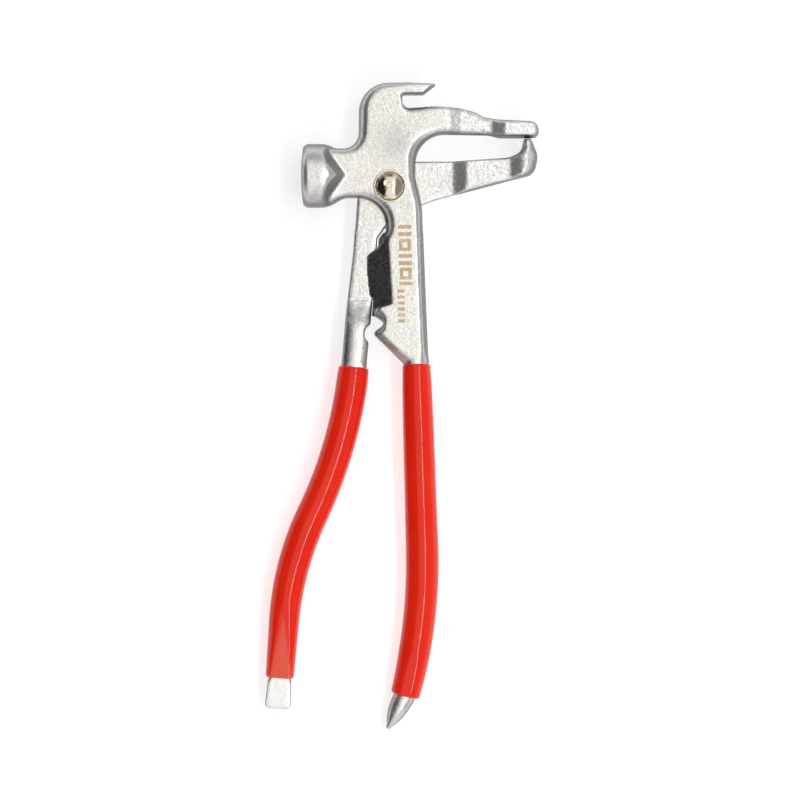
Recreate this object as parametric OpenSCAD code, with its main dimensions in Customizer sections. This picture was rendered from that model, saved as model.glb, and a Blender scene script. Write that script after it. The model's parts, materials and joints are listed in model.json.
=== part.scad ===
// Wheel-weight pliers: a hammer lever and a jaw lever that cross at one rivet, each with a dipped grip.
// The tool lies flat: +Z is up, +Y runs towards the hook and +X towards the jaws.
// Each outline is drawn about the rivet's axis, with z = 0 on the plane where the two levers meet,
// and place() then moves everything so that the origin is the middle of the tool's base.

/* [Lap joint] */
// Thickness of each lever where the two lie over each other
lever_t = 5.2; // [4.8:0.1:5.4]
// Gap between the two lapped faces
lap_gap = 0.1; // [0.06:0.02:0.2]
// Radius of the jaw lever's round lobe about the rivet
lobe_r = 13; // [12.6:0.1:13]
// Gap between a moving edge and the wall that it closes on
wall_gap = 0.35; // [0.3:0.05:0.45]
// Opening angle at which the jaw lever reaches its stop
open_max = 32; // [24:1:32]

/* [Rivet] */
// Radius of the rivet's shank
rivet_r = 4; // [3.4:0.1:4.2]
// Radial clearance around the shank in each lever
rivet_clear = 0.05; // [0.02:0.01:0.09]
// Radius of the domed head
dome_r = 5.4; // [5:0.1:5.8]
// Height of the domed head
dome_h = 2.3; // [1.8:0.1:2.8]
// Outer radius of the washer under the head
washer_r = 6.2; // [5.9:0.1:6.5]
// Thickness of the washer
washer_t = 0.9; // [0.6:0.1:1.2]
// Radius of the peened tail
tail_r = 5.6; // [5:0.1:6]
// Height of the peened tail
tail_h = 1.5; // [1:0.1:2]

/* [Hammer head] */
// Radius of the hammer head
head_r = 12.3; // [12:0.1:12.6]
// Distance of the striking face from the rivet's axis
head_reach = 34.2; // [33.6:0.1:35]
// Offset of the head's axis towards the hook
head_y = 4.3; // [4:0.1:4.6]
// Radius of the flat land in the middle of the striking face
face_land_r = 5.5; // [4:0.5:7]

/* [Jaws and edges] */
// Half thickness of the two jaw arms
arm_half_t = 3.4; // [3:0.1:4.4]
// Half thickness of the two jaw tips
tip_half_t = 6.6; // [6:0.1:7.2]
// Height of the shear edge above the lap plane
shear_edge = 0.25; // [0.15:0.05:0.5]
// Radius of the clip notch in the jaw lever's shank
notch_r = 3.9; // [3.4:0.1:4.1]

/* [Handles] */
// Radius of the round tangs inside the grips
tang_r = 4.6; // [4.2:0.1:4.8]
// Outer radius of the dipped grips along their bends
grip_r = 6.15; // [5.8:0.05:6.4]
// Outer radius of the hammer lever's grip at its rim
hammer_rim_r = 5.5; // [5.2:0.1:5.8]
// Outer radius of the jaw lever's grip at the driver tip
jaw_end_r = 5.5; // [5.2:0.1:5.8]
// Length of the pointed end beyond the hammer lever's grip
point_l = 14.4; // [12:0.2:16]
// Radius of the pointed end where it leaves the grip
point_r = 4.1; // [3.8:0.1:4.4]
// Length of the flat driver tip beyond the jaw lever's grip
driver_l = 11.8; // [10:0.1:13]
// Width of the driver tip at its end
driver_w = 9.8; // [9.2:0.1:10.4]
// Half thickness of the driver tip at its end
driver_half_t = 1.2; // [0.8:0.1:1.6]

/* [Hidden] */

// The tool's box about the rivet's axis: from the driver tip to the jaw tip, and from point to hook
box_x = [-48.14, 57.49];
box_y = [-209.02, 40.44];
pivot = [-(box_x[0] + box_x[1]) / 2, -(box_y[0] + box_y[1]) / 2, head_r];

steel = [0.85, 0.84, 0.82];
rivet_steel = [0.78, 0.74, 0.68];
grip_red = [0.86, 0.16, 0.10];
arc_step = 9;
deep = 60;
// Height and half width of the thin band that joins one run of a handle to the next
band_h = 0.03;
band_w = 0.4;

// Where each tang enters its grip, its heading from -Y towards -X there, and the arcs that it follows,
// each as [length, bend, radius of the grip at its start and at its end], with a positive bend towards -X.
// Only a straight run changes its radius.
hammer_start = [10.2, -68.6];
hammer_heading = -1.8;
hammer_runs = [[69.5, 0, hammer_rim_r, grip_r], [58.8, 16.6, grip_r, grip_r]];
jaw_start = [-14, -69.9];
jaw_heading = 5.9;
jaw_runs = [[58.5, 19.5, grip_r, grip_r], [43.5, -21, grip_r, grip_r], [21.7, 0, grip_r, jaw_end_r]];
// Turn of the pointed end from the tang's own line
point_turn = 13;

// Left edge of the jaw lever's shank, which meets the neck of the hammer lever at the open stop
shank_left = [[-12.3, 2], [-14.4, -26], [-17, -48], [-18.9, -71]];

// Outlines of the two levers, as [x, y, corner radius]
hammer_outline = [
    [-30, 15.3, 0], [-22.5, 15.1, 8], [-12.2, 14.7, 6], [-12, 40.1, 11.5],     // neck and shoulder
    [7, 40.45, 20], [16.9, 40, 1], [17.9, 39.2, 0.4], [12.9, 35.3, 1.5],        // pry hook
    [4.4, 35.3, 0.8], [4.4, 30.5, 2.3], [18, 31.3, 30], [27, 30.5, 20],        // hook slot, upper jaw
    [33.2, 28.8, 6], [36, 27, 6], [41, 26.2, 8], [57.2, 25.4, 3.4],
    [57.7, 18.85, 2.6], [42, 18.85, 8], [38, 19.75, 8], [10.1, 20.2, 11],      // jaw window
    [10, 3.2, 12], [12.5, -7, 25], [15, -68.3, 0], [5.2, -68.3, 0],            // shank
    [-6.9, -56.9, 1.1], [-1.7, -53, 1.2], [-4.6, -49.9, 1.2], [-6.45, -49.6, 0.4],  // clip tooth
    [-6.45, -43.3, 0.8], [-8, -41.8, 0.8], [-9, -33, 20], [-9, -26.6, 1.6],    // shear blade
    [-4.9, -23.4, 1], [-1.7, -16.8, 2], [-1.7, -4.4, 10.6], [-17.5, -4.4, 8],  // throat
    [-22, -6.8, 4], [-30, -6.8, 0]
];
jaw_outline = [
    [-12.3, 2, 0], [0, 10, 0], [26, 10, 40], [46.3, 11.4, 10], [50.4, 13.6, 4],  // root, top of the jaw
    [51.7, 18.5, 0.4], [54.6, 18.5, 1.2], [57.3, 12, 7], [55.7, 4.6, 5],         // finger
    [48, 2.8, 10], [30, -2, 30], [17.5, -5.3, 10], [9, -8.4, 8],                 // underside
    [-1.9, -16, 2.2], [-4.9, -19.8, 2], [-5.1, -25, 6], [-6.85, -46, 10],        // right edge of the shank
    [-9.2, -71, 0], [-18.9, -71, 0], [-17, -48, 60], [-14.4, -26, 60]            // left edge of the shank
];
// The line on the shank's face where the shear blade's ground bevel begins, and the footprint that holds
// the bevel, which runs a little past that line on one side and past the blade's edge on the other
bevel_from = [-0.4, -20.3];
bevel_to = [1.1, -45.2];
bevel_print = [[2, -18.8], [-4.6, -22.9], [-12, -27], [-12, -49], [-4, -46.7], [3, -44.64]];
// Foot of the shear blade below the lap plane, beside the jaw lever's shank, from the throat downwards
blade_foot = [[0.5, -17.6], [-2.6, -17.6], [-4.35, -19.9], [-4.6, -25], [-5, -30], [0, -30]];
// Middle of the clip notch
notch_at = [-5.9, -56.7];

function unit(v) = v / norm(v);

// One corner of an outline, b, between its neighbours a and c, as an arc of radius b[2]
function corner(a, b, c) =
    b[2] == 0 ? [[b.x, b.y]] :
    let (
        in = unit([a.x - b.x, a.y - b.y]),
        out = unit([c.x - b.x, c.y - b.y]),
        half = acos(in * out) / 2,
        middle = [b.x, b.y] + unit(in + out) * b[2] / sin(half),
        first = [b.x, b.y] + in * b[2] / tan(half) - middle,
        turn = -sign(cross(in, out)) * (180 - 2 * half),
        steps = max(2, ceil(abs(turn) / arc_step))
    )
    [for (i = [0:steps]) let (t = atan2(first.y, first.x) + turn * i / steps)
        middle + b[2] * [cos(t), sin(t)]];

function rounded(list) = let (n = len(list))
    [for (i = [0:n - 1]) each corner(list[(i + n - 1) % n], list[i], list[(i + 1) % n])];

// End of one run that starts at the origin along -Y
function run_end(length, bend) =
    bend == 0 ? [0, -length] :
    let (r = length * 180 / (PI * bend)) [-r * (1 - cos(bend)), -r * sin(bend)];

module place() {
    translate(pivot) children();
}

// Sweeps the 2D children along one run, from the origin along -Y
module run(length, bend) {
    r = bend == 0 ? 0 : length * 180 / (PI * abs(bend));
    if (bend == 0) {
        rotate([90, 0, 0]) linear_extrude(length) children();
    } else if (bend > 0) {
        translate([-r, 0, 0]) rotate(-bend)
            rotate_extrude(angle = bend, $fn = 180) translate([r, 0]) children();
    } else {
        translate([r, 0, 0]) rotate(180)
            rotate_extrude(angle = -bend, $fn = 180) translate([r, 0]) children();
    }
}

// Puts the children after the first count runs of a chain
module after(runs, count, i = 0) {
    if (i < count) {
        translate(run_end(runs[i][0], runs[i][1])) rotate(-runs[i][1]) after(runs, count, i + 1) children();
    } else {
        children();
    }
}

// A thin ring over the joint of two runs, so that they are one solid
module band(outer, inner) {
    rotate([90, 0, 0]) translate([0, 0, -band_w]) difference() {
        cylinder(h = 2 * band_w, r = outer + band_h, $fn = 48);
        if (inner > 0) {
            translate([0, 0, -1]) cylinder(h = 2 * band_w + 2, r = inner - band_h, $fn = 48);
        }
    }
}

module on_handle(start, heading) {
    translate(start) rotate(-heading) children();
}

// A slab across all of Y whose X-Z section is the given list, and the same across X from a Y-Z list
module slab_xz(section) {
    translate([0, 2 * deep, 0]) rotate([90, 0, 0]) linear_extrude(6 * deep) polygon(section);
}

module slab_yz(section) {
    translate([-2 * deep, 0, 0]) rotate([90, 0, 90]) linear_extrude(4 * deep) polygon(section);
}

// Section mirrored about the lap plane, from its upper half as [along, z]
function mirrored(upper) =
    concat(upper, [for (i = [len(upper) - 1:-1:0]) [upper[i][0], -upper[i][1]]]);

// Round tang that starts a little way up inside the forging
module tang(start, heading, runs, root) {
    on_handle(start, heading) {
        translate([0, root, 0]) rotate([90, 0, 0]) cylinder(h = root, r = tang_r, $fn = 48);
        for (i = [0:len(runs) - 1]) after(runs, i) {
            run(runs[i][0], runs[i][1]) circle(r = tang_r, $fn = 48);
            band(tang_r, 0);
        }
    }
}

// One run of a grip, hollow for its tang: a cone where it is straight and a bent tube elsewhere
module grip_run(length, bend, r1, r2) {
    if (bend == 0) {
        rotate([90, 0, 0]) difference() {
            cylinder(h = length, r1 = r1, r2 = r2, $fn = 48);
            translate([0, 0, -1]) cylinder(h = length + 2, r = tang_r, $fn = 48);
        }
    } else {
        run(length, bend) difference() {
            circle(r = r1, $fn = 48);
            circle(r = tang_r, $fn = 48);
        }
    }
}

module grip(start, heading, runs) {
    on_handle(start, heading) for (i = [0:len(runs) - 1]) after(runs, i) {
        grip_run(runs[i][0], runs[i][1], runs[i][2], runs[i][3]);
        if (i > 0) band(runs[i][2], tang_r);
    }
}

module rivet_bore() {
    translate([0, 0, -deep]) cylinder(h = 2 * deep, r = rivet_r + rivet_clear, $fn = 64);
}

// Hammer head about its own axis, with a land and a slight crown on its striking face
module hammer_head() {
    neck_start = 22.2;
    slope = 30.7;
    splay = 35.5;
    neck_r = 10.4;
    profile = rounded([
        [0, 0, 0], [face_land_r, 0, 14], [11.2, 0.7, 1], [head_r, 2.3, 1],
        [head_r, 9.6, 8], [neck_r, 13.6, 0], [neck_r, 22, 0], [0, 22, 0]
    ]);
    translate([-head_reach, head_y, 0]) difference() {
        rotate([0, 90, 0]) rotate_extrude($fn = 96) polygon(profile);
        // four flats fall from the head's crest to the faces of the neck
        for (side = [-1, 1], face = [-1, 1])
            translate([head_reach - neck_start, 0, face * head_r])
                rotate([0, -face * slope, side * splay])
                    translate([0, -deep, -deep]) cube(2 * deep);
    }
}

// Space below the lap plane where the jaw lever lies and swings
module swing_space() {
    jaw_root_y = 10 + wall_gap;
    circle(r = lobe_r + wall_gap, $fn = 96);
    polygon([[0, jaw_root_y], [26, jaw_root_y], [26, -17.5], [0.4, -17.5], [-1.6, -44], [-12, -44], [-12, 0]]);
    rotate(-open_max - 0.8) polygon([
        for (p = shank_left) [p.x - wall_gap, p.y],
        [0, -71], [0, 2]
    ]);
}

// Everything above the ground bevel of the shear blade
module bevel_cut() {
    run_line = bevel_to - bevel_from;
    turn = atan2(run_line.x, -run_line.y);
    fall = atan2(lever_t - shear_edge, 9.2);
    intersection() {
        translate([0, 0, -1]) linear_extrude(deep) polygon(bevel_print);
        translate([bevel_from.x, bevel_from.y, lever_t]) rotate(turn) rotate([0, -fall, 0])
            translate([-deep, -deep, 0]) cube([deep, 2 * deep, deep]);
    }
}

// Pointed end of the hammer lever, as a round point whose radius falls with the square of the distance
module point() {
    steps = 8;
    rotate([90, 0, 0]) rotate_extrude($fn = 48) polygon(concat(
        [[0, -3], [point_r, -3]],
        [for (i = [0:steps - 1]) [point_r * (1 - pow(i / steps, 2)), point_l * i / steps]],
        [[0, point_l]]
    ));
}

// Flat driver tip of the jaw lever, a thinning blade with rounded corners
module driver() {
    root = 2;
    intersection() {
        translate([0, 0, -deep / 2]) linear_extrude(deep) polygon(rounded([
            [-4.4, root, 0], [4.4, root, 0], [4.6, -0.2, 0.5],
            [driver_w / 2, -driver_l, 1.4], [-driver_w / 2, -driver_l, 1.4], [-4.6, -0.2, 0.5]
        ]));
        slab_yz(mirrored([[root, 2.4], [-driver_l, driver_half_t]]));
    }
}

module hammer_lever() {
    // the neck and shank keep the full thickness, the jaw arm is thinner and its tip is thicker
    jaw_section = mirrored([
        [-40, lever_t], [22.5, lever_t], [27.5, arm_half_t], [39.5, arm_half_t],
        [44, tip_half_t], [56, tip_half_t], [58.5, tip_half_t - 1.6]
    ]);
    color(steel) place() {
        difference() {
            union() {
                intersection() {
                    translate([0, 0, -deep / 2]) linear_extrude(deep) polygon(rounded(hammer_outline));
                    slab_xz(jaw_section);
                }
                hammer_head();
                translate([0, 0, -lever_t]) linear_extrude(lever_t + lap_gap) polygon(blade_foot);
            }
            translate([0, 0, lap_gap / 2 - deep]) linear_extrude(deep) difference() {
                swing_space();
                polygon(blade_foot);
            }
            bevel_cut();
            rivet_bore();
        }
        tang(hammer_start, hammer_heading, hammer_runs, 4);
        on_handle(hammer_start, hammer_heading) after(hammer_runs, len(hammer_runs)) rotate(-point_turn) point();
    }
}

module jaw_lever() {
    // the root lies under the hammer lever, and the jaw and the finger rise beyond it
    under = -lap_gap / 2;
    jaw_section = [
        [-14, under], [24.5, under], [29.5, arm_half_t], [46.5, arm_half_t], [50.5, tip_half_t - 0.3],
        [52.6, tip_half_t], [58, tip_half_t - 2.2], [58, 2.2 - tip_half_t], [52.6, -tip_half_t],
        [50.5, 0.3 - tip_half_t], [46.5, -lever_t], [-14, -lever_t]
    ];
    // the shank has the full thickness again below the shear blade
    shank_section = [
        [12, under], [-44.5, under], [-51.5, 4.9], [-72, 4.7], [-72, -4.7], [-49, -4.9], [-44, -lever_t],
        [12, -lever_t]
    ];
    color(steel) place() {
        difference() {
            union() {
                intersection() {
                    translate([0, 0, -deep / 2]) linear_extrude(deep) polygon(rounded(jaw_outline));
                    union() {
                        intersection() {
                            slab_xz(jaw_section);
                            translate([-30, -17, -deep]) cube([100, 60, 2 * deep]);
                        }
                        intersection() {
                            slab_yz(shank_section);
                            translate([-30, -80, -deep]) cube([38, 80, 2 * deep]);
                        }
                    }
                }
                translate([0, 0, -lever_t]) cylinder(h = lever_t + under, r = lobe_r, $fn = 96);
            }
            translate([notch_at.x, notch_at.y, -deep]) cylinder(h = 2 * deep, r = notch_r, $fn = 64);
            rivet_bore();
        }
        tang(jaw_start, jaw_heading, jaw_runs, 4);
        on_handle(jaw_start, jaw_heading) after(jaw_runs, len(jaw_runs)) driver();
    }
}

// Rivet with a domed head above the washer and a peened tail under the jaw lever
module pivot_rivet() {
    head_z = lever_t + washer_t;
    tail_z = -lever_t - lap_gap;
    dome_sphere = (pow(dome_r, 2) + pow(dome_h, 2)) / (2 * dome_h);
    tail_sphere = (pow(tail_r, 2) + pow(tail_h, 2)) / (2 * tail_h);
    color(rivet_steel) place() {
        translate([0, 0, tail_z]) cylinder(h = head_z - tail_z, r = rivet_r, $fn = 64);
        intersection() {
            translate([0, 0, head_z]) cylinder(h = dome_h, r = dome_r, $fn = 64);
            translate([0, 0, head_z + dome_h - dome_sphere]) sphere(r = dome_sphere, $fn = 96);
        }
        intersection() {
            translate([0, 0, tail_z - tail_h]) cylinder(h = tail_h, r = tail_r, $fn = 64);
            translate([0, 0, tail_z - tail_h + tail_sphere]) sphere(r = tail_sphere, $fn = 96);
        }
    }
}

// Turned washer under the rivet's head, with a rounded rim
module rivet_washer() {
    inner = rivet_r + rivet_clear;
    color(rivet_steel) place() translate([0, 0, lever_t]) rotate_extrude($fn = 96) polygon(rounded([
        [inner, 0, 0], [washer_r, 0, 0], [washer_r, washer_t, 0.4], [inner, washer_t, 0]
    ]));
}

module hammer_grip() {
    color(grip_red) place() grip(hammer_start, hammer_heading, hammer_runs);
}

module jaw_grip() {
    color(grip_red) place() grip(jaw_start, jaw_heading, jaw_runs);
}

hammer_lever();
jaw_lever();
pivot_rivet();
rivet_washer();
hammer_grip();
jaw_grip();
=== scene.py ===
import json
import math

import bpy
import numpy as np
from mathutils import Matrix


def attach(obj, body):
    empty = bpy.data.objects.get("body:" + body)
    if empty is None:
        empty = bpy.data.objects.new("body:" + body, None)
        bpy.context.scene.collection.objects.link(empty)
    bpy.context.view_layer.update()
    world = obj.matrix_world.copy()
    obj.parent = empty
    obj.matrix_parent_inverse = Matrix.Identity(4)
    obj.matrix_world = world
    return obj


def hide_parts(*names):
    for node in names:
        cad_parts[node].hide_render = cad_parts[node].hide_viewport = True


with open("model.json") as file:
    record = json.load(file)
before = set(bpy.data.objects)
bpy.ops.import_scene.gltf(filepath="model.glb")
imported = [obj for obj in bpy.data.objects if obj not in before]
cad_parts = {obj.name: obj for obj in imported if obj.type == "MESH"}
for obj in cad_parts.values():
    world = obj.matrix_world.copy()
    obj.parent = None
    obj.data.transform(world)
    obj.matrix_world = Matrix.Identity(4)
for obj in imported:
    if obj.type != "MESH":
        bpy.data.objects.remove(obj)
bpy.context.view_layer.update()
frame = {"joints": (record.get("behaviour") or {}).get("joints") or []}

import openvdb as vdb

# Lengths below are millimetres about the rivet's axis, with z = 0 on the plane where the levers meet
MM = 0.001
PIVOT = np.array(frame["joints"][0]["pos_m"]) / MM

LEVER_T = 5.2
LAP = 0.05
LOBE_R = 13.0
WALL_GAP = 0.35
OPEN_MAX = 32.0
HEAD_R = 12.3
HEAD_REACH = 34.2
HEAD_Y = 4.3
TANG_R = 4.6

HAMMER_START, HAMMER_HEADING = (10.2, -68.6), -1.8
HAMMER_RUNS = [(69.5, 0.0), (58.8, 16.6)]
JAW_START, JAW_HEADING = (-14.0, -69.9), 5.9
JAW_RUNS = [(58.5, 19.5), (43.5, -21.0), (21.7, 0.0)]

# Outlines of the two levers, as (x, y, corner radius)
HAMMER_OUTLINE = [
    (-30, 15.3, 0), (-22.5, 15.1, 8), (-12.2, 14.7, 6), (-12, 40.1, 11.5),
    (7, 40.45, 20), (16.9, 40, 1), (17.9, 39.2, 0.4), (12.9, 35.3, 1.5),
    (4.8, 35.3, 0.8), (4.8, 30.5, 2.6), (18, 31.3, 30), (27, 30.5, 20),
    (33.2, 28.8, 6), (36, 27, 6), (41, 26.2, 8), (57.2, 25.4, 3.4),
    (57.7, 18.7, 2.6), (42, 18.7, 8), (38, 19.75, 8), (10.1, 20.2, 11),
    (10, 3.2, 12), (12.5, -7, 25), (15, -68.3, 0), (15.1, -71, 0), (5.3, -71, 0), (5.2, -68.3, 0),
    (-6.9, -56.5, 1.5), (-2.1, -52.75, 0.9), (-5.4, -50.3, 1.0), (-7.05, -49.9, 0.3),
    (-6.6, -43.3, 0.8), (-8, -41.8, 0.8), (-9, -33, 20), (-9, -26.6, 1.6),
    (-4.9, -23.4, 1), (-1.7, -16.8, 2), (-1.7, -4.4, 10.6), (-17.5, -4.4, 8),
    (-22, -6.8, 4), (-30, -6.8, 0),
]
JAW_OUTLINE = [
    (-12.3, 2, 0), (0, 10, 0), (26, 10, 40), (46.3, 11.4, 10), (50.4, 13.6, 4),
    (51.7, 18.58, 0.4), (54.6, 18.58, 1.2), (57.3, 12, 7), (55.7, 4.6, 5),
    (48, 2.8, 10), (30, -2, 30), (17.5, -5.3, 10), (9, -8.4, 8),
    (-1.9, -16, 2.2), (-4.9, -19.8, 2), (-5.1, -25, 6), (-6.85, -46, 10),
    (-9.2, -71, 0), (-18.9, -71, 0), (-17, -48, 60), (-14.4, -26, 60),
]
SHANK_LEFT = [(-12.3, 2), (-14.4, -26), (-17, -48), (-18.9, -71)]
BEVEL_FROM, BEVEL_TO = np.array([-0.4, -20.3]), np.array([1.1, -45.2])
BEVEL_PRINT = [(2, -18.8), (-4.6, -22.9), (-12, -27), (-12, -49), (-4, -46.7), (3, -44.64)]
BLADE_FOOT = [(0.5, -17.6), (-2.6, -17.6), (-4.35, -19.9), (-4.6, -25), (-5, -30), (0, -30)]
NOTCH_AT, NOTCH_R = (-5.9, -56.7), 3.9


# ---------------------------------------------------------------- distance fields

def unit(v):
    return v / np.linalg.norm(v)


def rounded(outline, step=math.radians(6)):
    """The outline's points, with each corner as an arc of its radius."""
    points = []
    for i, (bx, by, r) in enumerate(outline):
        b = np.array([bx, by], float)
        if r == 0:
            points.append(b)
            continue
        to_a = unit(np.array(outline[i - 1][:2]) - b)
        to_c = unit(np.array(outline[(i + 1) % len(outline)][:2]) - b)
        half = math.acos(to_a @ to_c) / 2
        middle = b + unit(to_a + to_c) * r / math.sin(half)
        first = b + to_a * r / math.tan(half) - middle
        side = np.sign(to_a[0] * to_c[1] - to_a[1] * to_c[0])
        turn = -side * (math.pi - 2 * half)
        start = math.atan2(first[1], first[0])
        count = max(2, math.ceil(abs(turn) / step))
        for k in range(count + 1):
            t = start + turn * k / count
            points.append(middle + r * np.array([math.cos(t), math.sin(t)]))
    return points


def polygon_field(points, x, y):
    """Signed distance to a closed polygon, negative inside."""
    near = np.full(np.broadcast(x, y).shape, 1e9)
    sign = np.ones(near.shape)
    for (ax, ay), (bx, by) in zip(points, list(points[1:]) + [points[0]]):
        ex, ey = bx - ax, by - ay
        if ex * ex + ey * ey < 1e-12:
            continue
        wx, wy = x - ax, y - ay
        t = np.clip((wx * ex + wy * ey) / (ex * ex + ey * ey), 0, 1)
        near = np.minimum(near, (wx - ex * t) ** 2 + (wy - ey * t) ** 2)
        above, below, left = y >= ay, y < by, ex * wy > ey * wx
        sign[(above & below & left) | ~(above | below | left)] *= -1
    return sign * np.sqrt(near)


def both(a, b, r):
    """Intersection of two fields with an edge of radius r."""
    return np.minimum(np.maximum(a, b), -r) + np.hypot(np.maximum(a + r, 0), np.maximum(b + r, 0))


def either(a, b, r):
    """Union of two fields with a fillet of radius r."""
    return np.maximum(np.minimum(a, b), r) - np.hypot(np.maximum(r - a, 0), np.maximum(r - b, 0))


def smooth_steps(x, xs, ys, soft=1.2):
    """Piecewise line through the points, averaged over a short width so that its corners are soft."""
    offsets = np.linspace(-soft, soft, 9)
    return sum(np.interp(x + o, xs, ys) for o in offsets) / len(offsets)


def ramp(v, a, b):
    """0 below a, 1 above b, soft between."""
    t = np.clip((v - a) / (b - a), 0, 1)
    return t * t * (3 - 2 * t)


class Space:
    """A box of voxels about one piece."""

    def __init__(self, low, high, voxel):
        self.low, self.voxel = np.array(low, float), voxel
        count = [int(math.ceil((h - l) / voxel)) + 1 for l, h in zip(low, high)]
        axes = [self.low[k] + voxel * np.arange(count[k]) for k in range(3)]
        self.x = axes[0][:, None, None]
        self.y = axes[1][None, :, None]
        self.z = axes[2][None, None, :]
        self.flat_x, self.flat_y = axes[0][:, None], axes[1][None, :]

    def plan(self, points):
        """Distance to an outline in plan, ready to spread along z."""
        return polygon_field(points, self.flat_x, self.flat_y)[:, :, None]

    def sample(self, field, p):
        """Field and slope at points, by trilinear steps."""
        q = (p - self.low) / self.voxel
        i = np.clip(np.floor(q).astype(int), 0, np.array(field.shape) - 2)
        f = q - i
        value = np.zeros(len(p))
        slope = np.zeros((len(p), 3))
        for corner in range(8):
            o = np.array([corner & 1, corner >> 1 & 1, corner >> 2 & 1])
            w = np.where(o, f, 1 - f)
            v = field[tuple((i + o).T)]
            value += v * w.prod(1)
            for k in range(3):
                rest = [m for m in range(3) if m != k]
                slope[:, k] += v * (1 if o[k] else -1) * w[:, rest[0]] * w[:, rest[1]]
        return value, slope / self.voxel

    def mesh(self, field):
        """Quads on the field's zero surface, drawn onto it by two short steps."""
        grid = vdb.FloatGrid(4 * self.voxel)
        grid.copyFromArray(np.clip(field, -4 * self.voxel, 4 * self.voxel).astype(np.float32))
        grid.transform = vdb.createLinearTransform(voxelSize=self.voxel)
        grid.gridClass = vdb.GridClass.LEVEL_SET
        points, tris, quads = grid.convertToPolygons(isovalue=0.0, adaptivity=0.0)
        p = points.astype(float) + self.low
        for _ in range(2):
            value, slope = self.sample(field, p)
            size = np.maximum((slope ** 2).sum(1), 0.25)
            move = np.clip(value / size, -0.4 * self.voxel, 0.4 * self.voxel)
            p -= slope * move[:, None]
        faces = [tuple(int(v) for v in t[::-1]) for t in tris] + [tuple(int(v) for v in q[::-1]) for q in quads]
        return p, faces


# ---------------------------------------------------------------- meshes

def make_object(name, points, faces):
    mesh = bpy.data.meshes.new(name)
    mesh.from_pydata([tuple(v) for v in (np.asarray(points) + PIVOT) * MM], [], faces)
    mesh.validate()
    mesh.update()
    mesh.shade_smooth()
    piece = bpy.data.objects.new(name, mesh)
    bpy.context.scene.collection.objects.link(piece)
    return piece


def handle_path(start, heading, runs, step=1.5, before=0.0, after=0.0, turn_after=0.0):
    """Points and headings along a handle's middle line, each heading an angle from -Y towards -X."""
    p, a = np.array(start, float), math.radians(heading)
    pieces = [(before, 0.0, -1)] + [(l, b, 1) for l, b in runs] + [(after, 0.0, 1)]
    p = p - before * np.array([-math.sin(a), -math.cos(a)])
    points, headings, lengths = [p.copy()], [a], [-before]
    s = -before
    for k, (length, bend, _) in enumerate(pieces):
        if length == 0:
            continue
        if k == len(pieces) - 1:
            a += math.radians(turn_after)
        count = max(2, int(round(length / step)))
        for _ in range(count):
            da = math.radians(bend) / count
            a += da / 2
            p = p + length / count * np.array([-math.sin(a), -math.cos(a)])
            a += da / 2
            s += length / count
            points.append(p.copy())
            headings.append(a)
            lengths.append(s)
    return np.array(points), np.array(headings), np.array(lengths)


def sweep(path, headings, sections):
    """A closed tube through sections, each a list of (across, up) points, one for each path point."""
    count = len(sections[0])
    points, faces = [], []
    for (px, py), a, section in zip(path, headings, sections):
        across = np.array([-math.cos(a), math.sin(a)])
        for u, v in section:
            points.append((px + u * across[0], py + u * across[1], v))
    for i in range(len(sections) - 1):
        for j in range(count):
            k = (j + 1) % count
            faces.append((i * count + j, (i + 1) * count + j, (i + 1) * count + k, i * count + k))
    for ring, flip in ((0, False), (len(sections) - 1, True)):
        middle = len(points)
        points.append(tuple(np.mean(points[ring * count:(ring + 1) * count], axis=0)))
        for j in range(count):
            k = (j + 1) % count
            a, b = ring * count + j, ring * count + k
            faces.append((a, b, middle) if not flip else (b, a, middle))
    return points, faces


def turned(profile, middle, count=96):
    """A solid turned about the rivet's axis direction from a profile of (radius, z), first and last on the axis."""
    points, faces = [], []
    inner = profile[1:-1]
    for r, z in inner:
        for j in range(count):
            t = 2 * math.pi * j / count
            points.append((middle[0] + r * math.cos(t), middle[1] + r * math.sin(t), z))
    for i in range(len(inner) - 1):
        for j in range(count):
            k = (j + 1) % count
            faces.append((i * count + j, i * count + k, (i + 1) * count + k, (i + 1) * count + j))
    for end, ring, flip in ((profile[0], 0, True), (profile[-1], len(inner) - 1, False)):
        tip = len(points)
        points.append((middle[0], middle[1], end[1]))
        for j in range(count):
            k = (j + 1) % count
            a, b = ring * count + j, ring * count + k
            faces.append((b, a, tip) if flip else (a, b, tip))
    return points, faces


def join(*parts):
    points, faces = [], []
    for p, f in parts:
        base = len(points)
        points.extend(tuple(v) for v in p)
        faces.extend(tuple(i + base for i in face) for face in f)
    return points, faces


# ---------------------------------------------------------------- hammer lever

def tang_stub(space, start, heading, length):
    """Round bar from a little inside the shank to a little inside the grip."""
    a = math.radians(heading)
    along = np.array([-math.sin(a), -math.cos(a)])
    dx, dy = space.x - start[0], space.y - start[1]
    s = dx * along[0] + dy * along[1]
    across = dx * along[1] - dy * along[0]
    bar = np.sqrt(across ** 2 + space.z ** 2) - TANG_R
    return np.maximum(bar, np.maximum(-3 - s, s - length))


def swing_plan(space):
    """Plan of the room that the jaw lever swings in."""
    root_y = 10 + WALL_GAP
    lobe = np.hypot(space.flat_x, space.flat_y) - LOBE_R - WALL_GAP
    root = polygon_field([(0, root_y), (26, root_y), (26, -17.5), (0.4, -17.5), (-1.6, -44),
                          (-12, -44), (-12, 0)], space.flat_x, space.flat_y)
    t = -math.radians(OPEN_MAX + 0.8)
    open_shank = [(x - WALL_GAP, y) for x, y in SHANK_LEFT] + [(0, -71), (0, 2)]
    swung = [(x * math.cos(t) - y * math.sin(t), x * math.sin(t) + y * math.cos(t))
             for x, y in open_shank]
    return np.minimum(np.minimum(lobe, root), polygon_field(swung, space.flat_x, space.flat_y))[:, :, None]


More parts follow.
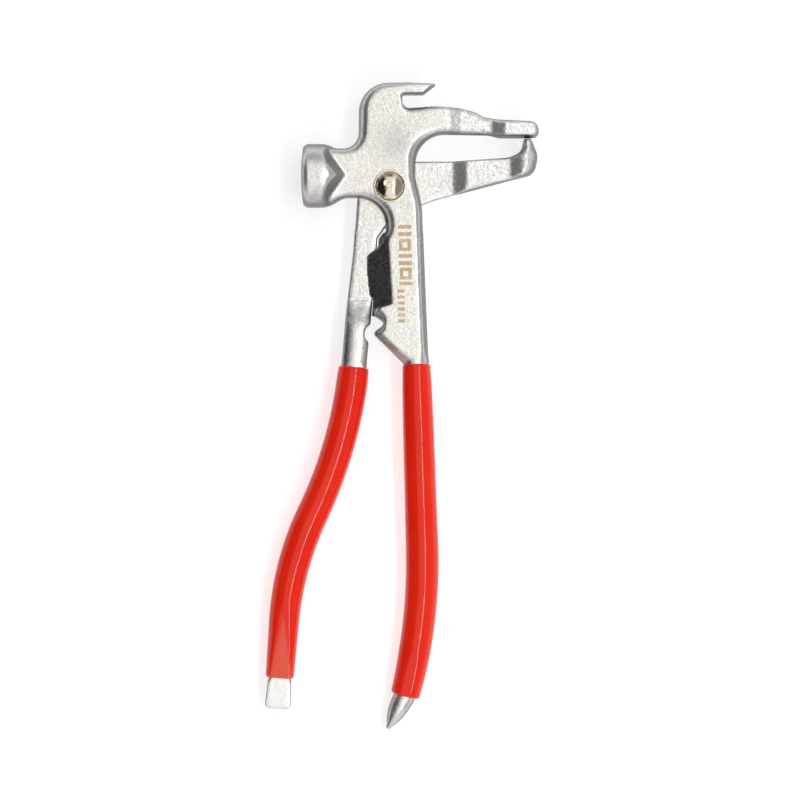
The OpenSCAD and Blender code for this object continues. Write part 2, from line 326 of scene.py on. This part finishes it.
def blob(space, at, size):
    """1 in the middle of a soft patch in plan, 0 outside."""
    d = ((space.flat_x - at[0]) / size[0]) ** 2 + ((space.flat_y - at[1]) / size[1]) ** 2
    return np.exp(-d)[:, :, None]


# Where the hammer lever's edge is rounder or crisper: middle, size, edge radius, draft of the wall
EDGE_ZONES = [
    ((-14, 28), (7, 12), 3.2, 0.26), ((14, -40), (5, 42), 1.1, 0.44), ((11, 13), (5, 10), 2.6, 0.36),
    ((-1, -12), (4, 8), 2.4, 0.34), ((24, 31.5), (16, 4), 1.0, 0.12), ((6, 29.5), (5, 3), 1.6, 0.26), ((50, 23), (13, 8), 0.9, 0.12),
    ((11, 37.5), (8, 4.2), 0.8, 0.10), ((4.8, 33), (3.2, 3), 0.5, 0.04), ((-6, -48), (4, 3.6), 2.7, 0.34),
    ((0.3, -53), (3.2, 2.6), 0.5, 0.04), ((-7, -34), (5, 8), 0.5, 0.04),
]


def hammer_lever():
    space = Space((-36.2, -74, -13.3), (59.2, 42, 13.3), 0.45)
    x, y, z = space.x, space.y, space.z
    plan = space.plan(rounded(HAMMER_OUTLINE))
    half_t = smooth_steps(x, [-40, 22.5, 27.5, 39.5, 44, 56, 58.5], [5.2, 5.2, 3.4, 3.4, 6.6, 6.6, 5.0], 0.8)
    edge, draft = 2.4, 0.18
    for at, size, r, d in EDGE_ZONES:
        w = blob(space, at, size)
        edge, draft = edge + (r - edge) * w, draft + (d - draft) * w
    root = np.clip((-62 - y) / 8, 0, 1)
    root = root * root * (3 - 2 * root)
    half_t = half_t - 0.8 * root
    edge = edge + (3.2 - edge) * root
    side = (plan + draft * np.abs(z)) / np.sqrt(1 + draft ** 2)
    plate = both(side, np.abs(z) - half_t, edge)

    # the head is turned about its own axis, and four flats fall from its crest to the neck
    reach = np.sqrt((y - HEAD_Y) ** 2 + z ** 2)
    profile = rounded([(-3, 0, 0), (5.5, 0, 14), (11.2, 0.7, 1), (HEAD_R, 2.3, 1), (HEAD_R, 9.6, 8),
                       (10.4, 13.6, 3), (10.4, 24, 0), (-3, 24, 0)])
    near = x[:, 0, 0] < -6
    head = np.full(np.broadcast(x, y, z).shape, 9.0)
    head[near] = polygon_field(profile, reach.repeat(near.sum(), 0), (x[near] + HEAD_REACH))
    for up in (-1, 1):
        for right in (-1, 1):
            nx, ny, nz = 0.70, 0.5 * right, 0.51 * up
            flat = (x + 22.2) * nx + (y - HEAD_Y) * ny + (z - up * HEAD_R) * nz
            head = both(head, flat, 0.7)
    body = either(plate, head, 0.5)

    swing = np.maximum(z - LAP, swing_plan(space))
    body = np.maximum(body, -swing)
    foot_top = (z - 0.5 * (x + 2)) / math.hypot(1, 0.5)
    body = np.minimum(body, np.maximum(np.maximum(space.plan(BLADE_FOOT), foot_top), -LEVER_T - z))

    # ground bevel of the shear blade
    line = unit(BEVEL_TO - BEVEL_FROM)
    left = np.array([line[1], -line[0]])
    fall = math.atan2(LEVER_T - 0.25, 9.2)
    away = (x - BEVEL_FROM[0]) * left[0] + (y - BEVEL_FROM[1]) * left[1]
    above = (z - LEVER_T) * math.cos(fall) + away * math.sin(fall)
    cut = np.maximum(-above, space.plan(BEVEL_PRINT))
    body = both(body, -cut, 0.25)

    bore = np.hypot(x, y) - 4.05
    body = np.maximum(body, -bore)
    body = either(body, tang_stub(space, HAMMER_START, HAMMER_HEADING, 8), 0.6)
    return space.mesh(body)


def build_hammer_point():
    path, headings, lengths = handle_path(HAMMER_START, HAMMER_HEADING, HAMMER_RUNS, step=2.0)
    keep = lengths > 2.0
    path, headings, lengths = path[keep], headings[keep], lengths[keep]
    turn = math.radians(13)
    p, a = path[-1], headings[-1] + turn
    tip_path, tip_s = [], []
    for s in np.concatenate([np.linspace(0.5, 14.0, 28), [14.2, 14.35]]):
        tip_path.append(p + s * np.array([-math.sin(a), -math.cos(a)]))
        tip_s.append(s)
    radii = [TANG_R - 0.02] * (len(path) - 4) + [4.5, 4.4, 4.2, 4.12]
    radii += [max(4.1 * max(0.0, 1 - (s / 14.55) ** 2.4) ** 0.9, math.sqrt(max(0.0, 1.1 - (s - 13.35) ** 2))
                  if s > 13.3 else 0.0) for s in tip_s]
    path = np.vstack([path, tip_path])
    headings = np.concatenate([headings, [a] * len(tip_s)])
    ring = np.linspace(0, 2 * math.pi, 41)[:-1]
    sections = [[(r * math.cos(t), r * math.sin(t)) for t in ring] for r in radii]
    return sweep(path, headings, sections)


# ---------------------------------------------------------------- jaw lever

def jaw_lever():
    space = Space((-20.5, -76, -8), (59.4, 21, 8), 0.4)
    x, y, z = space.x, space.y, space.z
    plan = space.plan(rounded(JAW_OUTLINE))
    side_draft = 0.03
    side = (plan + side_draft * np.abs(z)) / np.sqrt(1 + side_draft ** 2)
    top = smooth_steps(x, [-20, 25, 29, 46.5], [-LAP, -LAP, 3.4, 3.4], 1.2)
    top = np.where(x > 40, smooth_steps(x, [46.5, 50.5, 52.6, 58], [3.4, 6.3, 6.6, 4.4], 0.8), top)
    low = smooth_steps(x, [46.5, 50.5, 52.6, 58], [-5.2, -6.3, -6.6, -4.4], 0.8)
    edge, arm_draft = 1.3, 0.12
    for at, size, r, d in ((( 56, 11), (4, 9), 3.0, 0.40), ((30, 10.5), (18, 3), 0.7, 0.06), ((34, -1), (16, 3.5), 1.5, 0.25), ((53, 18.5), (3, 3), 0.8, 0.10)):
        w = blob(space, at, size)
        edge, arm_draft = edge + (r - edge) * w, arm_draft + (d - arm_draft) * w
    arm_side = (plan + arm_draft * np.abs(z)) / np.sqrt(1 + arm_draft ** 2)
    arm = both(arm_side, np.maximum(z - top, low - z), edge)
    arm = np.maximum(arm, -17 - y)
    top_y = smooth_steps(-y, [-20, 44.5, 54, 72, 90], [-LAP, -LAP, 4.9, 4.7, 4.7], 2.4)
    low_y = smooth_steps(-y, [-20, 44, 49, 72, 90], [-5.2, -5.2, -4.9, -4.7, -4.7], 0.9)
    slab = np.maximum(z - top_y, low_y - z)
    # below the step the shank's edges fall away to each side
    deep = np.interp(-y, [43, 50], [0.1, 1.35])
    shank = both(side, slab, 0.5)
    shank = both(shank, side * 0.545 + slab * 0.839 + deep, 0.9)
    shank = np.maximum(shank, np.maximum(y + 16.5, x - 8))
    body = np.minimum(arm, shank)
    lobe = np.maximum(np.hypot(x, y) - LOBE_R, np.maximum(z + LAP, -LEVER_T - z))
    body = either(body, both(lobe, lobe, 0.3), 0.5)
    body = np.maximum(body, z - np.where((x < 23.5) & (y > -44), -LAP, 99))
    notch = np.hypot(x - NOTCH_AT[0], y - NOTCH_AT[1]) - NOTCH_R
    body = both(body, -notch, 0.5)
    body = np.maximum(body, -(np.hypot(x, y) - 4.05))
    body = either(body, tang_stub(space, JAW_START, JAW_HEADING, 6), 0.6)
    return space.mesh(body)


def rounded_box(width, height, r, arc=6, flat=7):
    """Section of a flat bar with rounded corners, as half sizes, evenly spaced round each part."""
    r = min(r, width, height)
    out = []
    for quarter, (sx, sy) in enumerate(((1, 1), (-1, 1), (-1, -1), (1, -1))):
        cx, cy = sx * (width - r), sy * (height - r)
        for k in range(arc):
            t = math.pi / 2 * (quarter + k / (arc - 1))
            out.append((cx + r * math.cos(t), cy + r * math.sin(t)))
        nx, ny = ((-1, 1), (-1, -1), (1, -1), (1, 1))[quarter]
        end = (nx * (width - r), ny * (height - r))
        t = math.pi / 2 * (quarter + 1)
        a, b = out[-1], (end[0] + r * math.cos(t), end[1] + r * math.sin(t))
        for k in range(1, flat):
            out.append((a[0] + (b[0] - a[0]) * k / flat, a[1] + (b[1] - a[1]) * k / flat))
    return out


def build_driver():
    """The tang inside the jaw lever's grip and the flat driver tip beyond it."""
    path, headings, lengths = handle_path(JAW_START, JAW_HEADING, JAW_RUNS, step=2.0)
    keep = lengths > 2.0
    path, headings, lengths = path[keep], headings[keep], lengths[keep]
    total = lengths[-1]
    p, a = path[-1], headings[-1]
    sections = []
    for s in lengths:
        f = np.clip((s - total + 24) / 24, 0, 1)
        f = f * f * (3 - 2 * f)
        sections.append(rounded_box(TANG_R - 0.02 - 0.15 * f, TANG_R - 2.2 * f, TANG_R - 2.9 * f))
    tip = []
    for s in np.concatenate([np.linspace(0.4, 9.9, 18), 11.8 - 1.9 * np.cos(np.radians(np.arange(5, 90, 9)))[::1], [11.8]]):
        tip.append(float(s))
    tip = sorted(tip)
    end_r = 1.6
    for s in tip:
        w = 4.45 + 0.45 * min(1, s / 9)
        h = 2.4 - 1.2 * s / 11.8
        if s > 11.8 - end_r:
            k = (s - 11.8 + end_r) / end_r
            w -= end_r * (1 - math.sqrt(max(0, 1 - k * k)))
            h -= 0.35 * k ** 3
        sections.append(rounded_box(w, h, 0.55 + 1.1 * max(0, 1 - s / 2.5)))
    path = np.vstack([path] + [p + s * np.array([[-math.sin(a), -math.cos(a)]]) for s in tip])
    headings = np.concatenate([headings, [a] * len(tip)])
    return sweep(path, headings, sections)


# ---------------------------------------------------------------- grips

def pressed(radius, height, count=56):
    """A circle whose top and bottom are pressed in to the given half height, with soft corners."""
    out = []
    for k in range(count):
        t = 2 * math.pi * k / count
        u, v = radius * math.cos(t), radius * math.sin(t)
        soft = 0.35
        gap = abs(v) - height
        v_flat = abs(v) - 0.5 * (gap + math.hypot(gap, soft)) if height < radius - 1e-6 else abs(v)
        out.append((u, math.copysign(v_flat, v)))
    return out


def grip(start, heading, runs, widths, flat_from, end_half):
    """A dipped sleeve: widths are (distance, full width), and its end is pressed flatter from flat_from on."""
    path, headings, lengths = handle_path(start, heading, runs, step=1.2)
    total = lengths[-1]
    distances, halves = [d for d, _ in widths], [w / 2 for _, w in widths]
    spots, turns, sections = [], [], []

    def add(s, section):
        spots.append([np.interp(s, lengths, path[:, 0]), np.interp(s, lengths, path[:, 1])])
        turns.append(np.interp(s, lengths, headings))
        sections.append(section)

    def half(s):
        return np.interp(s, distances, halves)

    # out of the mouth beside the tang and over its round lip
    add(1.6, pressed(TANG_R - 0.3, TANG_R))
    add(0.4, pressed(TANG_R - 0.1, TANG_R))
    lip = 0.9
    for t in np.linspace(0, math.pi / 2, 7):
        r = half(lip * (1 - math.cos(t))) - lip * (1 - math.sin(t))
        add(lip * (1 - math.cos(t)), pressed(r, r))
    for s in np.linspace(1.4, total - 1.6, int(total / 1.3)):
        f = np.clip((s - flat_from) / (total - flat_from), 0, 1)
        add(s, pressed(half(s), half(s) + (end_half - half(s)) * f))
    for t in np.linspace(0, math.pi / 2, 7)[1:]:
        s, drop = total - 1 + math.sin(t), 1 - math.cos(t)
        add(s, pressed(half(s) - drop, end_half - 0.8 * drop))
    return sweep(np.array(spots), turns, sections)


# ---------------------------------------------------------------- materials

# Generic etched pattern on the shank: middle, width and height of each bar, and the holes of the squares
ETCHED = [(5.6, -15.6, 5.2, 1.5), (5.7, -18.4, 5.2, 1.5), (5.8, -22.6, 4.6, 4.6), (5.9, -26.8, 5.2, 1.5),
          (6.0, -29.6, 5.2, 1.5), (6.1, -33.6, 4.6, 4.6), (6.2, -37.4, 5.2, 1.3)]
ETCHED += [(4.2 + 0.05 * k, -40.3 - 2.3 * k, 2.7, 1.2) for k in range(6)]
ETCHED_HOLES = [(5.8, -22.6, 2.0), (6.1, -33.6, 2.0)]


class Tree:
    """Short calls for a material's nodes."""

    def __init__(self, name):
        self.material = bpy.data.materials.new(name)
        self.material.use_nodes = True
        self.nodes = self.material.node_tree.nodes
        self.links = self.material.node_tree.links
        self.shader = self.nodes["Principled BSDF"]
        self.place = self.nodes.new("ShaderNodeTexCoord").outputs["Object"]

    def put(self, value, socket):
        if isinstance(value, bpy.types.NodeSocket):
            self.links.new(value, socket)
        elif value is not None:
            socket.default_value = value

    def math(self, kind, a, b=None, c=None, clamp=False):
        n = self.nodes.new("ShaderNodeMath")
        n.operation = kind
        n.use_clamp = clamp
        for value, socket in zip((a, b, c), n.inputs):
            self.put(value, socket)
        return n.outputs[0]

    def noise(self, scale, detail=2.0, rough=0.5, vector=None, distortion=0.0):
        n = self.nodes.new("ShaderNodeTexNoise")
        self.put(vector or self.place, n.inputs["Vector"])
        for key, v in (("Scale", scale), ("Detail", detail), ("Roughness", rough), ("Distortion", distortion)):
            n.inputs[key].default_value = v
        return n.outputs["Fac"]

    def span(self, value, a, b, low=0.0, high=1.0):
        n = self.nodes.new("ShaderNodeMapRange")
        self.put(value, n.inputs["Value"])
        for key, v in (("From Min", a), ("From Max", b), ("To Min", low), ("To Max", high)):
            n.inputs[key].default_value = v
        return n.outputs["Result"]

    def mix(self, factor, a, b):
        n = self.nodes.new("ShaderNodeMix")
        n.data_type = "RGBA"
        self.put(factor, n.inputs["Factor"])
        for value, socket in ((a, n.inputs[6]), (b, n.inputs[7])):
            if isinstance(value, tuple):
                value = value + (1.0,)
            self.put(value, socket)
        return n.outputs[2]

    def mapped(self, scale=(1, 1, 1), turn=(0, 0, 0)):
        n = self.nodes.new("ShaderNodeMapping")
        self.put(self.place, n.inputs["Vector"])
        n.inputs["Rotation"].default_value = turn
        n.inputs["Scale"].default_value = scale
        return n.outputs["Vector"]

    def bump(self, height, distance, strength=1.0, normal=None):
        n = self.nodes.new("ShaderNodeBump")
        n.inputs["Distance"].default_value = distance
        n.inputs["Strength"].default_value = strength
        self.put(height, n.inputs["Height"])
        self.put(normal, n.inputs["Normal"])
        return n.outputs["Normal"]

    def mask(self, name):
        n = self.nodes.new("ShaderNodeAttribute")
        n.attribute_name = name
        return n.outputs["Fac"]

    def rectangle(self, x, y, width, height):
        """1 inside a rectangle in plan, given by its middle and size in metres of the row frame."""
        dx = self.math("ABSOLUTE", self.math("SUBTRACT", self.axis("X"), x))
        dy = self.math("ABSOLUTE", self.math("SUBTRACT", self.axis("Y"), y))
        return self.math("MULTIPLY", self.math("LESS_THAN", dx, width / 2), self.math("LESS_THAN", dy, height / 2))

    def axis(self, name):
        if not hasattr(self, "split"):
            self.split = self.nodes.new("ShaderNodeSeparateXYZ")
            self.links.new(self.place, self.split.inputs[0])
        return self.split.outputs[name]

    def etched_marks(self):
        """Two short rows of plain bars and squares down the shank."""
        total = None
        for x, y, width, height in ETCHED:
            x, y = (PIVOT[0] + x) * MM, (PIVOT[1] + y) * MM
            one = self.rectangle(x, y, width * MM, height * MM)
            total = one if total is None else self.math("MAXIMUM", total, one)
        hole = None
        for x, y, width in ETCHED_HOLES:
            one = self.rectangle((PIVOT[0] + x) * MM, (PIVOT[1] + y) * MM, width * MM, width * MM)
            hole = one if hole is None else self.math("MAXIMUM", hole, one)
        return self.math("SUBTRACT", total, hole, clamp=True)

    def finish(self, **sockets):
        for key, value in sockets.items():
            if isinstance(value, tuple) and len(value) == 3:
                value = value + (1.0,)
            self.put(value, self.shader.inputs[key.replace("_", " ")])
        return self.material


def steel_material():
    t = Tree("forged_satin_steel")
    grain = t.noise(1250, 4.0, 0.7)
    pebble = t.noise(560, 2.0, 0.6)
    cloud = t.noise(70, 3.0, 0.55)
    dark = t.span(t.noise(2300, 2.0, 0.6), 0.48, 0.72)
    pits = t.span(t.noise(750, 3.0, 0.65, distortion=0.6), 0.36, 0.58)
    lines = t.noise(900, 2.0, 0.6, t.mapped((0.08, 1.0, 1.0), (0, 0, math.radians(35))))
    rough_zone = t.mask("rough")
    ground = t.mask("ground")
    tone = t.mix(t.span(cloud, 0.35, 0.65), (0.69, 0.677, 0.647), (0.80, 0.785, 0.752))
    tone = t.mix(t.span(grain, 0.36, 0.64, 0.0, 0.95), tone, (0.93, 0.905, 0.855))
    tone = t.mix(t.math("MULTIPLY", rough_zone, 0.75), tone, (0.97, 0.955, 0.925))
    tone = t.mix(t.math("MULTIPLY", dark, 0.75), tone, (0.42, 0.41, 0.39))
    tone = t.mix(t.math("MULTIPLY", t.span(pebble, 0.5, 0.75), t.span(rough_zone, 0, 1, 0.25, 0.5)), tone,
                 (0.42, 0.42, 0.42))
    # painted shade: a darker patch on the face above the rivet and on the slope down to the upper jaw
    tone = t.mix(t.math("MULTIPLY", t.mask("painted_shade_patch"), 0.55), tone, (0.47, 0.47, 0.465))
    etch = t.math("MULTIPLY", t.etched_marks(), t.math("MULTIPLY", t.mask("face"), t.span(pebble, 0.25, 0.5, 0.6, 1)))
    tone = t.mix(t.math("MULTIPLY", etch, 0.9), tone, (0.56, 0.40, 0.24))
    # painted highlight: the upward faces of the driver tip are turned near-white
    tone = t.mix(t.math("MULTIPLY", t.mask("tip_highlight"), 0.85), tone, (0.97, 0.965, 0.95))
    # painted shade: walls, and the shank's left-facing chamfer, darkened almost to black
    tone = t.mix(t.math("MULTIPLY", t.mask("wall"), 0.9), tone, (0.15, 0.151, 0.16))
    # painted reflection: the ground bevel is painted near-black, over its real grind lines
    tone = t.mix(ground, tone, t.mix(t.span(lines, 0.35, 0.65), (0.19, 0.19, 0.197), (0.31, 0.31, 0.315)))
    rough = t.span(pebble, 0.3, 0.7, 0.33, 0.42)
    rough = t.math("ADD", rough, t.math("MULTIPLY", rough_zone, 0.06))
    rough = t.math("ADD", rough, t.math("MULTIPLY", etch, 0.15))
    normal = t.bump(grain, 0.00012, 0.7)
    normal = t.bump(pebble, 0.00020, 0.5, normal)
    normal = t.bump(t.math("MULTIPLY", pits, rough_zone), 0.00022, 0.42, normal)
    normal = t.bump(t.math("MULTIPLY", lines, ground), 0.0001, 0.5, normal)
    strokes = t.noise(1100, 2.0, 0.6, t.mapped((0.07, 1.0, 1.0), (0, 0, math.radians(-48))))
    normal = t.bump(t.math("MULTIPLY", strokes, t.mask("grind")), 0.00012, 0.6, normal)
    return t.finish(Base_Color=tone, Roughness=rough, Normal=normal, Metallic=1.0)


def rivet_material(name, wave):
    t = Tree(name)
    swirl = t.noise(300, 2.0, 0.5)
    fine = t.noise(1800, 2.0, 0.5)
    tone = t.mix(t.span(swirl, 0.35, 0.65), (0.76, 0.655, 0.52), (0.92, 0.81, 0.67))
    rough = t.span(fine, 0.3, 0.7, 0.07, 0.13)
    normal = t.bump(t.noise(330, 2.0, 0.5), 0.00035, wave)
    return t.finish(Base_Color=tone, Roughness=rough, Normal=normal, Metallic=1.0)


def vinyl_material():
    t = Tree("red_dipped_vinyl")
    cloud = t.noise(45, 3.0, 0.5)
    skin = t.noise(900, 2.0, 0.5)
    wave = t.noise(120, 2.0, 0.5, t.mapped((1, 0.35, 1)))
    tone = t.mix(t.span(cloud, 0.3, 0.7), (0.91, 0.020, 0.007), (0.96, 0.028, 0.009))
    # painted highlight: the top of the grip's pressed end is made paler
    tone = t.mix(t.math("MULTIPLY", t.mask("thin"), 0.7), tone, (0.97, 0.14, 0.085))
    rough = t.span(skin, 0.3, 0.7, 0.07, 0.11)
    normal = t.bump(wave, 0.0003, 0.2)
    normal = t.bump(skin, 0.00003, 0.4, normal)
    t.shader.inputs["Specular IOR Level"].default_value = 0.34
    return t.finish(Base_Color=tone, Roughness=rough, Normal=normal)


STEEL, VINYL = steel_material(), vinyl_material()
RIVET, WASHER = rivet_material("polished_rivet_steel", 0.5), rivet_material("turned_washer_steel", 0.04)


def mark(piece, name, weight):
    """Stores a mask on the piece, from a function of its points in millimetres about the rivet and its normals."""
    count = len(piece.data.vertices)
    co, normal = np.empty(count * 3), np.empty(count * 3)
    piece.data.vertices.foreach_get("co", co)
    piece.data.vertices.foreach_get("normal", normal)
    value = weight(co.reshape(-1, 3) / MM - PIVOT, normal.reshape(-1, 3))
    attribute = piece.data.attributes.new(name, "FLOAT", "POINT")
    attribute.data.foreach_set("value", np.clip(value, 0, 1).astype(np.float32))


def settle(piece, body, node, material):
    piece.data.materials.append(material)
    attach(piece, body)
    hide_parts(node)


# ---------------------------------------------------------------- the pieces

hammer = make_object("hammer_forging", *join(hammer_lever(), build_hammer_point()))
def on_bevel(p):
    return (p[:, 0] < 1.2) & (p[:, 0] > -10) & (p[:, 1] < -19) & (p[:, 1] > -47) & (p[:, 2] > 0.2) & (p[:, 2] < 5.05)


def on_wall(p, n):
    """Weight of the painted shade on the forgings: 1 on their walls, 0 on faces that look up or down."""
    return ramp(np.abs(n[:, 2]), 0.80, 0.35)


mark(hammer, "rough", lambda p, n: ramp(p[:, 0], 20, 27) * (p[:, 1] > 15))
# the ground bevel, painted near-black as a painted dark reflection
mark(hammer, "ground", lambda p, n: on_bevel(p).astype(float))
# painted shade: a blob on the face above the rivet, and the slope down to the upper jaw at x 22 to 27.6
mark(hammer, "painted_shade_patch", lambda p, n: np.exp(-((p[:, 0] - 2.6) / 6.5) ** 2 - ((p[:, 1] - 16.5) / 7) ** 2) * (p[:, 2] > 4)
     + ramp(p[:, 0], 22, 23) * ramp(p[:, 0], 27.6, 26.6) * (p[:, 2] > 2))
mark(hammer, "face", lambda p, n: ramp(p[:, 2], 4.9, 5.1))
mark(hammer, "grind", lambda p, n: ramp(p[:, 1], -44, -52) * ramp(p[:, 2], 4.5, 5.1) * ramp(p[:, 1], -70, -64))
# painted shade on the hammer lever's walls
mark(hammer, "wall", on_wall)
settle(hammer, "hammer_half", "hammer_lever", STEEL)

jaw = make_object("jaw_forging", *join(jaw_lever(), build_driver()))
mark(jaw, "rough", lambda p, n: (0.3 + 0.7 * ramp(p[:, 0], 12, 26)) * (p[:, 1] > -60))
# painted highlight on the driver tip's upward faces
mark(jaw, "tip_highlight", lambda p, n: ramp(p[:, 1], -186, -190) * ramp(n[:, 2], 0.7, 0.9))
# painted shade on the walls, and on the left-facing chamfer of the shank below the step
mark(jaw, "wall", lambda p, n: np.maximum(
    on_wall(p, n), 0.8 * ramp(-n[:, 0], 0.30, 0.55) * ramp(p[:, 1], -43, -48) * (p[:, 1] > -80)))
settle(jaw, "jaw_half", "jaw_lever", STEEL)

rivet_profile = [(0, -6.8), (2.2, -6.7), (4.2, -6.3), (5.3, -5.7), (5.6, -5.35), (4.0, -5.3), (4.0, 6.1)]
sphere_r = (5.4 ** 2 + 2.2 ** 2) / (2 * 2.2)
for k in range(13):
    t = math.asin(5.4 / sphere_r) * (1 - k / 12.0)
    rivet_profile.append((sphere_r * math.sin(t) if k < 12 else 0.0, 6.2 + 2.2 - sphere_r * (1 - math.cos(t))))
pip_profile = [(0, 7.8), (1.45, 7.8), (1.5, 8.2), (1.4, 8.36), (1.15, 8.42), (0.85, 8.30), (0, 8.24)]
rivet = make_object("rivet", *join(turned(rivet_profile, (0, 0)), turned(pip_profile, (-1.2, 1.1), 32)))
settle(rivet, "hammer_half", "pivot_rivet", RIVET)
washer = make_object("washer", *turned(
    [(0, 5.2), (6.1, 5.2), (6.25, 5.35), (6.25, 5.9), (6.2, 6.02), (6.1, 6.09), (5.98, 6.1), (5.7, 6.1),
     (5.62, 6.09), (5.56, 6.03), (5.5, 5.7), (5.44, 5.4), (0, 5.4)], (0, 0)))
settle(washer, "hammer_half", "rivet_washer", WASHER)

hammer_grip = make_object("hammer_sleeve", *grip(
    (HAMMER_START[0], HAMMER_START[1] + 0.35), HAMMER_HEADING, [(HAMMER_RUNS[0][0] + 0.35, 0.0)] + HAMMER_RUNS[1:],
    [(0, 10.7), (3.5, 11.05), (9.5, 11.5), (26.5, 12.0), (56.5, 12.4), (75, 12.8), (93, 12.6), (112, 12.3), (128.3, 11.4)],
    112, 5.4))
settle(hammer_grip, "hammer_half", "hammer_grip", VINYL)
jaw_grip = make_object("jaw_sleeve", *grip(
    (JAW_START[0] + 0.05, JAW_START[1] + 0.5), JAW_HEADING, [(JAW_RUNS[0][0] + 0.5, 19.5)] + JAW_RUNS[1:],
    [(0, 11.7), (5, 12.26), (40, 12.2), (66, 12.5), (88, 12.2), (101, 11.8), (114, 11.3), (123.7, 11.0)],
    96, 3.9))
def pressed_facet_highlight_weight(p, n):
    """Painted highlight on the top of the grip's pressed end: a paler triangle where the flat faces the light."""
    middle = -40.7 + 0.06 * (p[:, 1] + 164)
    half = 0.187 * (-p[:, 1] - 164.9)
    return ramp(np.abs(p[:, 0] - middle) - half, 0.6, -1.0) * ramp(half, 0, 0.4) * (p[:, 2] > 2.5)


# painted highlight on the top of the pressed end
mark(jaw_grip, "thin", pressed_facet_highlight_weight)
settle(jaw_grip, "jaw_half", "jaw_grip", VINYL)

# ---------------------------------------------------------------- floor, light and camera

def floor_height(y_mm):
    """The floor lies against the head's lowest line and the hammer grip's far end."""
    return (HEAD_Y - y_mm) * 6.15 / 198.0 - HEAD_R


size = 4000.0
corners = [(-size, -size), (size, -size), (size, size), (-size, size)]
floor = make_object("floor", [(x, y, floor_height(y)) for x, y in corners], [(0, 1, 2, 3)])
ft = Tree("pale_floor")
floor.data.materials.append(ft.finish(
    Base_Color=ft.mix(ft.span(ft.noise(6, 2.0, 0.5), 0.3, 0.7), (0.50, 0.50, 0.50), (0.53, 0.53, 0.53)), Roughness=0.9,
    Emission_Color=(1.0, 1.0, 1.0), Emission_Strength=0.65))

world = bpy.data.worlds.new("studio")
bpy.context.scene.world = world
world.use_nodes = True
wn, wl = world.node_tree.nodes, world.node_tree.links
wn.clear()
coord = wn.new("ShaderNodeTexCoord")
split = wn.new("ShaderNodeSeparateXYZ")
wl.new(coord.outputs["Generated"], split.inputs[0])


def wmath(kind, a, b=None, c=None, clamp=False):
    n = wn.new("ShaderNodeMath")
    n.operation = kind
    n.use_clamp = clamp
    for value, socket in zip((a, b, c), n.inputs):
        if isinstance(value, bpy.types.NodeSocket):
            wl.new(value, socket)
        elif value is not None:
            socket.default_value = value
    return n.outputs[0]


def wspan(value, a, b, low, high):
    n = wn.new("ShaderNodeMapRange")
    n.interpolation_type = "SMOOTHSTEP"
    wl.new(value, n.inputs["Value"])
    for key, v in (("From Min", a), ("From Max", b), ("To Min", low), ("To Max", high)):
        n.inputs[key].default_value = v
    return n.outputs["Result"]


# one long soft light overhead, in line with the tool: dark to the left of it, dim grey to its right,
# and light again near the horizon
off_line = wmath("ABSOLUTE", wmath("SUBTRACT", split.outputs["X"], 0.06))
across = wspan(off_line, 0.56, 0.30, 0.0, 1.0)
along_far = wspan(split.outputs["Y"], 0.94, 0.76, 0.0, 1.0)
along_near = wspan(split.outputs["Y"], -0.99, -0.90, 0.0, 1.0)
above = wspan(split.outputs["Z"], 0.0, 0.2, 0.0, 0.95)
overhead = wmath("MULTIPLY", wmath("MULTIPLY", across, above), wmath("MULTIPLY", along_far, along_near))
side_glow = wspan(split.outputs["X"], 0.1, 0.75, 0.02, 0.30)
horizon = wmath("MULTIPLY", wspan(split.outputs["Z"], 0.48, 0.24, 0.0, 0.26),
                wmath("MULTIPLY", wspan(split.outputs["X"], -0.95, -0.65, 0.0, 1.0),
                      wspan(split.outputs["X"], 0.75, 0.92, 1.0, 0.25)))
total = wmath("ADD", wmath("ADD", overhead, side_glow), horizon)
total = wmath("MAXIMUM", total, wspan(split.outputs["Z"], 0.10, 0.06, 0.0, 0.92))
background = wn.new("ShaderNodeBackground")
wl.new(total, background.inputs["Strength"])
tint = wn.new("ShaderNodeMix")
tint.data_type = "RGBA"
wl.new(wspan(split.outputs["Z"], 0.55, 0.9, 0.0, 1.0), tint.inputs["Factor"])
tint.inputs[6].default_value = (0.96, 0.97, 1.03, 1.0)
tint.inputs[7].default_value = (1.0, 0.985, 0.955, 1.0)
wl.new(tint.outputs[2], background.inputs["Color"])
out = wn.new("ShaderNodeOutputWorld")
wl.new(background.outputs[0], out.inputs[0])


def softbox(name, at, width, height, power):
    light = bpy.data.lights.new(name, "AREA")
    light.shape = "RECTANGLE"
    light.size, light.size_y = width, height
    light.energy = power
    lamp = bpy.data.objects.new(name, light)
    bpy.context.scene.collection.objects.link(lamp)
    lamp.location = at
    lamp.rotation_euler = (0, math.atan2(at[0], at[2]), 0)
    return lamp


softbox("strip", (0.50, 0.0, 1.24), 0.07, 1.8, 5.2)

camera_data = bpy.data.cameras.new("camera")
camera_data.lens = 150.0
camera_data.sensor_width = 36.0
camera = bpy.data.objects.new("camera", camera_data)
bpy.context.scene.collection.objects.link(camera)
view_w = 0.3088
camera.location = (-0.0008, 0.0021, PIVOT[2] * MM + view_w * 150.0 / 36.0)
camera.rotation_euler = (0, 0, 0)
bpy.context.scene.camera = camera
bpy.context.scene.view_settings.view_transform = "Standard"
